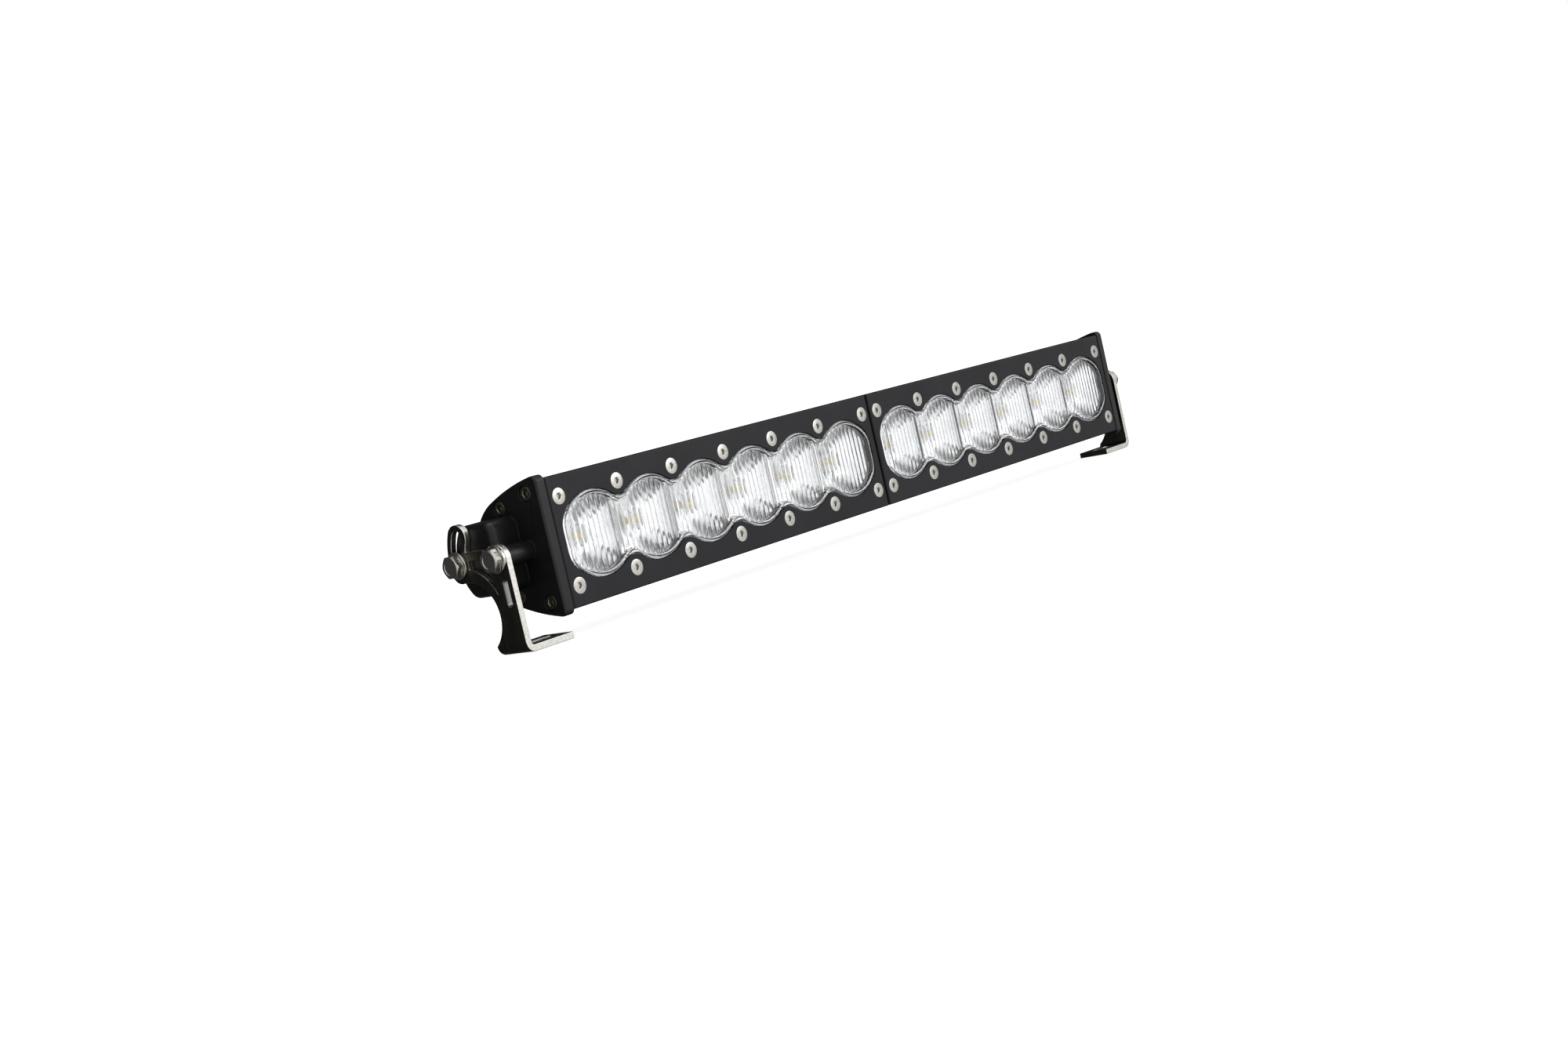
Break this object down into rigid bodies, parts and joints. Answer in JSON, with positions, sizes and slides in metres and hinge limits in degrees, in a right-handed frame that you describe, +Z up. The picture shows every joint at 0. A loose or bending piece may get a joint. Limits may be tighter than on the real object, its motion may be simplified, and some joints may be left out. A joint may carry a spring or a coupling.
{
  "type": "led light bar",
  "caption": "Straight LED light bar: two lobed lamp modules in a finned D-section housing with end caps and slotted tilting feet.",
  "frame": {"origin": "under the middle of the bar, on the plane that the two feet stand on", "axes": "+X along the bar to the right as seen from the front, +Y to the finned back (lenses face -Y), +Z up"},
  "size_m": [0.5452, 0.0494, 0.0765],
  "materials": {
    "black_anodised": "satin black anodised",
    "black_cast": "fine-textured black powder coat",
    "lens_clear": "clear hard-coated polycarbonate",
    "gasket_rubber": "matt silicone rubber",
    "reflector": "vacuum-metallised",
    "led_board": "white solder mask",
    "led_chip": "phosphor under a clear dome",
    "stainless": "plain stainless",
    "dark_steel": "dark passivated",
    "thermal_pad": "soft grey pad",
    "circuit_board": "green solder mask",
    "electronics": "moulded black",
    "lead_wire": "insulated wire",
    "black_nylon": "moulded nylon",
    "bracket_steel": "dark brushed sheet with bright cut edges"
  },
  "bodies": {
    "bar": {"housing": "black_anodised", "gland_body": "black_nylon", "gland_nut": "black_nylon", "gland_seal": "gasket_rubber", "breather_vent": "black_nylon", "bezel_left": "black_anodised", "bezel_right": "black_anodised", "lens_left": "lens_clear", "lens_right": "lens_clear", "lens_gasket_left": "gasket_rubber", "lens_gasket_right": "gasket_rubber", "reflector_tray_left": "reflector", "reflector_tray_right": "reflector", "led_board_left": "led_board", "led_board_right": "led_board", "led_chips_left": "led_chip", "led_chips_right": "led_chip", "bezel_screws_left": "stainless", "bezel_screws_right": "stainless", "tray_screws_left": "stainless", "tray_screws_right": "stainless", "thermal_pad_left": "thermal_pad", "thermal_pad_right": "thermal_pad", "driver_board_left": "circuit_board", "driver_board_right": "circuit_board", "driver_parts_left": "electronics", "driver_parts_right": "electronics", "board_leads_left": "lead_wire", "board_leads_right": "lead_wire", "end_cap_left": "black_cast", "end_cap_right": "black_cast", "end_gasket_left": "gasket_rubber", "end_gasket_right": "gasket_rubber", "end_cap_screws_left": "dark_steel", "end_cap_screws_right": "dark_steel", "pivot_bolt_left": "stainless", "pivot_bolt_right": "stainless", "pivot_washer_left": "stainless", "pivot_washer_right": "stainless", "clamp_bolt_left": "stainless", "clamp_bolt_right": "stainless", "clamp_washer_left": "stainless", "clamp_washer_right": "stainless"},
    "bracket_left": {"bracket_left": "bracket_steel"},
    "bracket_right": {"bracket_right": "bracket_steel"}
  },
  "joints": [
    {"name": "left_bracket_tilt", "type": "hinge", "parent": "bar", "child": "bracket_left", "pos_m": [-0.2657, -0.00975, 0.044], "axis": [1, 0, 0], "range_deg": [-27.5, 0]},
    {"name": "right_bracket_tilt", "type": "hinge", "parent": "bar", "child": "bracket_right", "pos_m": [0.2657, -0.00975, 0.044], "axis": [1, 0, 0], "range_deg": [-27.5, 0]}
  ]
}
